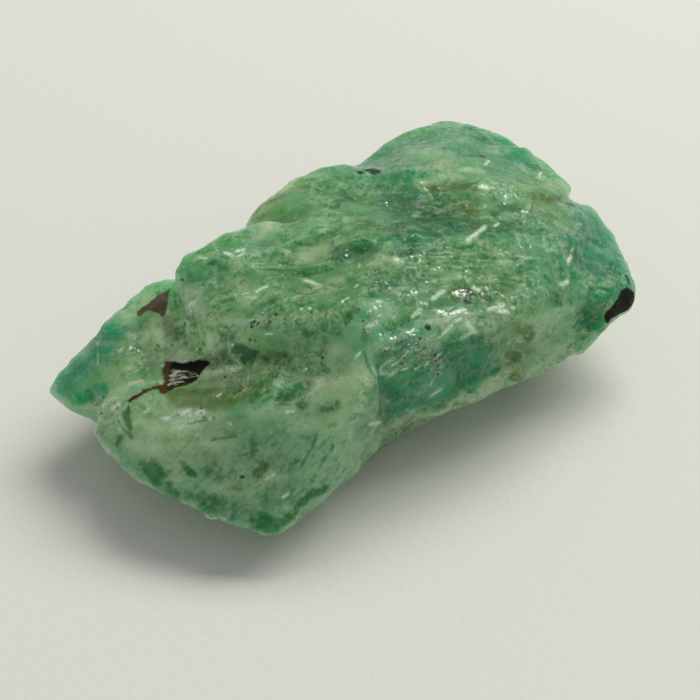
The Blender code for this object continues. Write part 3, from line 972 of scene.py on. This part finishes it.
def mark_skin(stone):
    """Paints where each colour lies, then raises the ribs and presses in the cracks and the mica."""
    mesh = stone.data
    skin_tree = BVHTree.FromPolygons([v.co for v in mesh.vertices], [p.vertices for p in mesh.polygons])
    flat = np.empty(len(mesh.vertices) * 3)
    mesh.vertices.foreach_get("co", flat)
    places = flat.reshape(-1, 3) / MM
    turns = np.empty(len(mesh.vertices) * 3)
    mesh.vertices.foreach_get("normal", turns)
    normals = turns.reshape(-1, 3)
    for name, runs in (
        ("deep", DEEP_GREEN),
        ("teal", TEAL_AND_PAINTED_GLOW),
        ("dusky", DUSKY),
        ("olive", OLIVE),
        ("cool", COOL),
        ("painted_glow", PAINTED_GLOW_RUNS),
        ("warm", WARM),
        ("milky", MILKY_AND_PAINTED_FILL),
        ("frosted_and_painted_fill", FROSTED),
        ("feathers", FEATHERS),
        ("specks", SPECKS),
        ("streaks", STREAKS),
        ("crumbs", CRUMBS),
        ("brown", BROWN),
    ):
        paint(mesh, name, run_mask(places, skin_tree, runs))
    for name, lines in (("slit", SLITS_AND_RIB_SHADOW), ("thread", THREADS), ("glint", GLINTS), ("faint", FAINT_GLINTS)):
        paint(mesh, name, distance_to_lines(places, skin_tree, lines))
    windows = [inside(places, skin_tree, outline, WINDOW_DEPTH) for outline in WINDOWS]
    paint(mesh, "window", np.max(windows, axis=0))
    paint(mesh, "rust", inside(places, skin_tree, RUST_PATCH, PATCH_DEPTH))
    paint(mesh, "leaves", inside(places, skin_tree, MICA_LEAVES, PATCH_DEPTH))
    flake = inside(places, skin_tree, MICA_FLAKE, FLAKE_DEPTH)
    tail = run_mask(places, skin_tree, [MICA_TAIL]) * TAIL_WIDTH - TAIL_WIDTH / 2
    tip = inside(places, skin_tree, MICA_TIP, TIP_DEPTH)
    paint(mesh, "mica", np.maximum(np.maximum(flake, tail), tip))
    ribs = run_relief(places, skin_tree, RIBS)
    cracks = run_relief(places, skin_tree, CRACKS)
    sunk = -FLAKE_SUNK * np.clip(flake / FLAKE_EDGE + 0.5, 0, 1)
    standing = np.clip(places[:, 2] / RELIEF["Flat base height"], 0, 1)
    places += normals * ((ribs + cracks + sunk) * standing)[:, None]
    places[:, 2] = np.maximum(places[:, 2], 0)
    mesh.vertices.foreach_set("co", (places * MM).ravel())
    mesh.update()


def layered(tree, place, stretch):
    """The place with the layers' run drawn out, so that a pattern on it lies in long streaks."""
    run = tree.dot(place, tuple(LAYER_RUN)) / stretch
    side = tree.dot(place, tuple(LAYER_SIDE))
    height = tree.node("ShaderNodeSeparateXYZ", None, {"Vector": place}, "Z")
    return tree.node("ShaderNodeCombineXYZ", None, {0: run, 1: side, 2: height})


def feathered(tree, place):
    """The place pressed together along the feathers' run, so that a pattern on it lies in short strokes."""
    run = tree.dot(place, tuple(FEATHER_RUN))
    return tree.vector("SUBTRACT", place, tree.scaled(tuple(FEATHER_RUN), run * 0.84))


def threads(noise, width):
    """Thin wandering lines, where a cloudy noise crosses its middle."""
    return (noise - 0.5).sum("ABSOLUTE").step(width, 0.0)


def broken_tones(tree, place, body):
    """Each broken face a little lighter or darker than its neighbours, large faces and small."""
    shaken = tree.vector("ADD", place, tree.scaled(tree.noise(place, 0.7, 4.0, output="Color"), 0.35))
    rough = tree.patches(place, (2.0, 9.0, 6.0), 1.8, 3.0).step(0.40, 0.58)
    rough = rough * (1.0 - tree.mark("frosted_and_painted_fill").step(0.0, 0.8) * 0.75)
    for size, share in ((0.80, 0.26), (0.36, 0.36), (0.17, 0.30)):
        tone = tree.dot(tree.cells(shaken, size, output="Color"), (1.0, 0.0, 0.0))
        body = tree.blend(tone.step(0.60, 0.95) * rough * share, body, PALETTE["milk"])
        body = tree.blend(tone.step(0.40, 0.05) * rough * share * 1.3, body, PALETTE["deep green"])
    return body


def beryl_colour(tree, place, wander):
    """Milky green with clear windows, teal and olive zones, pale veils, streaks and grains, and painted
    glints, fill, glow and shadow.
    """
    soft = tree.noise(place, 2.4, 6.0, 0.6)
    body = tree.blend(soft.step(0.36, 0.64), PALETTE["green"], PALETTE["light green"])

    def lay(mask, colour):
        nonlocal body
        body = tree.blend(mask, body, PALETTE[colour])

    def line(name, width):
        ragged = tree.mark(name) + wander * 0.10 + (tree.noise(place, 0.25, 2.0) - 0.5) * 0.14
        return ragged.step(width, width * 0.35)

    lay((tree.mark("cool") + wander * 0.5).step(0.0, 1.0) * 0.75, "cool green")
    lay((tree.mark("warm") + wander * 0.5).step(0.0, 1.0) * 0.65, "warm green")
    # Painted glow: a brighter green on the shaded flank, for light shining through the stone.
    lay((tree.mark("painted_glow") + wander * 0.5).step(0.0, 0.9) * 0.45, "painted glow green")
    # Painted light by the way each face turns: faces turned away from the lamp are painted a paler green, a
    # painted fill on the shaded side.
    normal = tree.node("ShaderNodeNewGeometry", output="Normal")
    frosted_and_painted_fill = tree.dot(normal, tuple(SHADED_SIDE))
    lay(frosted_and_painted_fill.step(-0.35, 0.30) * 0.65, "painted fill green")
    # Faces turned toward the lamp are painted a paler, greyer green: painted light on the lit side.
    lamp_facing = tree.dot(normal, tuple(LIT_SIDE))
    lay(lamp_facing.step(0.35, 0.80) * 0.70, "painted lit green")
    patch = tree.patches(place, (4.0, 7.0, 1.0), 0.85, 5.0, 0.58)
    clouds = patch.step(0.53, 0.60) * tree.noise(place, 3.0, 2.0).step(0.40, 0.60)
    clouds = clouds * (1.0 - tree.mark("frosted_and_painted_fill").step(0.0, 0.8) * 0.7)
    lay(clouds * 0.40, "deep green")
    for name, low, high, ragged, share, colour in ZONES:
        lay((tree.mark(name) + wander * ragged).step(low, high) * share, colour)
    veils = threads(tree.patches(place, (1.0, 6.0, 3.0), 1.5, 4.0, 0.62), 0.030)
    lay(veils * tree.noise(place, 2.0, 3.0).step(0.45, 0.60) * 0.18, "milk")
    window = (tree.mark("window") + wander * 0.50).step(-0.08, 0.12)
    lay(window * 0.80, "window")
    body = broken_tones(tree, place, body)
    drawn = tree.noise(layered(tree, place, 9.0), 0.32, 3.0, 0.6)
    streaks = tree.mark("streaks").step(0.10, 0.60)
    lay(drawn.step(0.54, 0.66) * streaks * 0.45, "milk")
    lay(drawn.step(0.46, 0.36) * streaks * 0.40, "deep green")
    drawn = tree.noise(feathered(tree, place), 0.26, 3.0, 0.6)
    feathers = tree.mark("feathers").step(0.05, 0.60)
    lay(drawn.step(0.53, 0.66) * feathers * 0.50, "milk")
    lay(drawn.step(0.45, 0.34) * feathers * 0.40, "deep green")
    grains = tree.cells(place, 0.20).step(0.30, 0.20) * tree.noise(place, 1.4, 4.0).step(0.54, 0.62)
    grains = grains * 0.45 + tree.mark("crumbs").step(0.2, 1.2) * 0.25
    lay(grains.sum("MINIMUM", 1.0), "cream")
    # Dark slits in the window colour, and a painted shadow under the curved rib.
    lay(line("slit", 0.13) * 0.55, "window")
    lay(line("thread", 0.10) * 0.50, "milk")
    bits = tree.noise(place, 0.13, 2.0).step(0.34, 0.50)
    # Painted highlights: a pale halo and bright glints painted into the colour along the glint lines, faint
    # and full.
    lay(line("glint", 0.36) * 0.30, "milk")
    lay(line("faint", 0.13) * bits * 0.90, "glint")
    lay(line("glint", 0.19) * bits, "glint")
    rust = (tree.mark("rust") + wander * 0.25).step(-0.02, 0.03)
    lay(rust * 0.94, "rust")
    return tree.blend((tree.mark("specks") + wander * 0.4).step(0.45, 0.55) * 0.90, body, PALETTE["speck"])


def beryl_surface(tree, place):
    """The stone's fine bumps: chips, splinters and grain."""
    patchy = tree.patches(place, (8.0, 2.0, 4.0), 1.6, 4.0).step(0.44, 0.60) + tree.mark("crumbs")
    fine = tree.leaning(place, FINE_CHIP) * (0.42 * patchy + 0.7 * tree.mark("crumbs").step(0.1, 0.8))
    splinters = tree.leaning(layered(tree, place, 2.2), SPLINTER) * 0.50
    grain = tree.noise(place, 0.16, 3.0, 0.6) * 0.018
    return tree.bump(fine + splinters + grain)


def sparkles(tree, place):
    """Small clean faces that flash: many along the crumbling edges, and a few in rough patches."""
    pick = tree.dot(tree.cells(place, 0.15, output="Color"), (1.0, 0.0, 0.0))
    rough = tree.patches(place, (3.0, 5.0, 9.0), 1.6, 3.0).step(0.48, 0.58)
    few = rough * pick.step(0.90, 0.95) * 0.45 * (1.0 - tree.mark("frosted_and_painted_fill").step(0.0, 0.6))
    return (tree.mark("crumbs").step(0.1, 0.8) * pick.step(0.40, 0.70)).sum("MAXIMUM", few)


def mica(tree, place):
    """Dark mica leaves with a pearly sheen in streaks, brown where they thin out."""
    leaves = tree.noise(layered(tree, place, 3.0), 0.22, 4.0, 0.7)
    pearl = (tree.mark("leaves") + (leaves - 0.5) * 0.7).step(-0.02, 0.06) * leaves.step(0.45, 0.58)
    brown = (tree.mark("brown") + (leaves - 0.5) * 1.4).step(0.25, 0.65)
    body = tree.blend(brown, PALETTE["black mica"], PALETTE["brown mica"])
    return tree.node(
        "ShaderNodeBsdfPrincipled",
        None,
        {
            "Base Color": tree.blend(pearl, body, PALETTE["pearl"]),
            "Roughness": 0.42,
            "Metallic": pearl * 0.4,
            "Specular IOR Level": 0.1,
            "Normal": tree.bump(leaves * 0.3),
        },
    )


def beryl_and_mica():
    """The stone's finish: milky and clear beryl in soft zones, with dark mica where it is painted."""
    material = bpy.data.materials.new("beryl_and_mica")
    material.use_nodes = True
    material.node_tree.nodes.clear()
    tree = Tree(material.node_tree)
    place = tree.scaled(tree.node("ShaderNodeTexCoord", None, None, "Object"), 1 / MM)
    fine_wander = tree.noise(place, 0.35, 4.0, 0.6) - 0.5
    wander = (tree.noise(place, 1.1, 5.0, 0.62) - 0.5) * 0.9 + fine_wander * 0.4
    colour = beryl_colour(tree, place, wander)
    dull = tree.patches(place, (5.0, 1.0, 8.0), 0.9, 4.0, 0.6)
    finish = {
        "Roughness": 0.14 + 0.26 * dull.step(0.4, 0.68) + tree.mark("rust").step(-0.02, 0.03) * 0.25,
        "IOR": BERYL_IOR,
        "Specular IOR Level": 0.36,
        "Specular Tint": (0.3, 0.34, 0.3, 1),
        "Coat Weight": sparkles(tree, place),
        "Coat Roughness": 0.10,
        "Coat IOR": COAT_IOR,
        "Normal": beryl_surface(tree, place),
    }
    milky = {
        "Base Color": colour,
        "Subsurface Weight": 1.0,
        "Subsurface Radius": MILK_REACH,
        "Subsurface Scale": MM,
    }
    milky = tree.node("ShaderNodeBsdfPrincipled", {"subsurface_method": "RANDOM_WALK"}, {**finish, **milky})
    tint = tree.blend(0.25, colour, PALETTE["clear tint"])
    clear = {**finish, "Base Color": tint, "Transmission Weight": 1.0}
    clear = tree.node("ShaderNodeBsdfPrincipled", None, clear)
    opened = (tree.mark("deep") + tree.mark("teal") + wander).step(0.2, 0.8)
    share = CLEAR_SHARE + CLEAR_SHARE * opened
    beryl = tree.node("ShaderNodeMixShader", None, {0: share, 1: milky, 2: clear})
    torn = tree.noise(place, 0.12, 3.0, 0.7) - 0.5
    is_mica = (tree.mark("mica") + fine_wander * 0.22 + torn * 0.26).step(-0.03, 0.03)
    both = tree.node("ShaderNodeMixShader", None, {0: is_mica, 1: beryl, 2: mica(tree, place)})
    tree.node("ShaderNodeOutputMaterial", None, {"Surface": both})
    return material


def make_stone():
    stone = even_skin(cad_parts["emerald"])
    apply_modifiers(stone)
    mark_skin(stone)
    add_broken_skin(stone, beryl_and_mica())
    apply_modifiers(stone)
    stone.name = "emerald_stone"
    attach(stone, "root")
    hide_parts("emerald")


def add_floor():
    """A plain pale sheet of paper."""
    bpy.ops.mesh.primitive_plane_add(size=PAPER_SIZE * MM)
    floor = bpy.context.object
    floor.name = "paper"
    material = bpy.data.materials.new("paper")
    material.use_nodes = True
    tree = Tree(material.node_tree)
    shader = material.node_tree.nodes["Principled BSDF"]
    shader.inputs["Base Color"].default_value = PAPER_COLOUR
    shader.inputs["Roughness"].default_value = 0.8
    shader.inputs["Specular IOR Level"].default_value = 0.25
    place = tree.scaled(tree.node("ShaderNodeTexCoord", None, None, "Object"), 1 / MM)
    bump = tree.bump(tree.noise(place, 0.5, 3.0, 0.5) * PAPER_TOOTH, 0.6)
    material.node_tree.links.new(bump.socket, shader.inputs["Normal"])
    floor.data.materials.append(material)


def add_lamp():
    """A long soft lamp that faces straight down."""
    data = bpy.data.lights.new("long_lamp", "AREA")
    data.shape = "RECTANGLE"
    data.size, data.size_y = (side * MM for side in LAMP_SIDES)
    data.energy = LAMP_WATTS
    data.color = LAMP_COLOUR
    light = bpy.data.objects.new("long_lamp", data)
    bpy.context.scene.collection.objects.link(light)
    right, beyond, above = LAMP_PLACE
    away = Vector((0.0, 0.0, 1.0)).cross(RIGHT)
    light.location = (RIGHT * right + away * beyond + Vector((0.0, 0.0, above))) * MM
    light.rotation_euler = (0.0, 0.0, math.radians(EYE_TURN))


def light_room():
    world = bpy.data.worlds.new("room")
    bpy.context.scene.world = world
    world.use_nodes = True
    background = world.node_tree.nodes["Background"]
    background.inputs["Color"].default_value = ROOM_COLOUR
    background.inputs["Strength"].default_value = ROOM_STRENGTH


add_camera()
add_floor()
add_lamp()
light_room()
make_stone()
bpy.context.scene.view_settings.view_transform = "Standard"
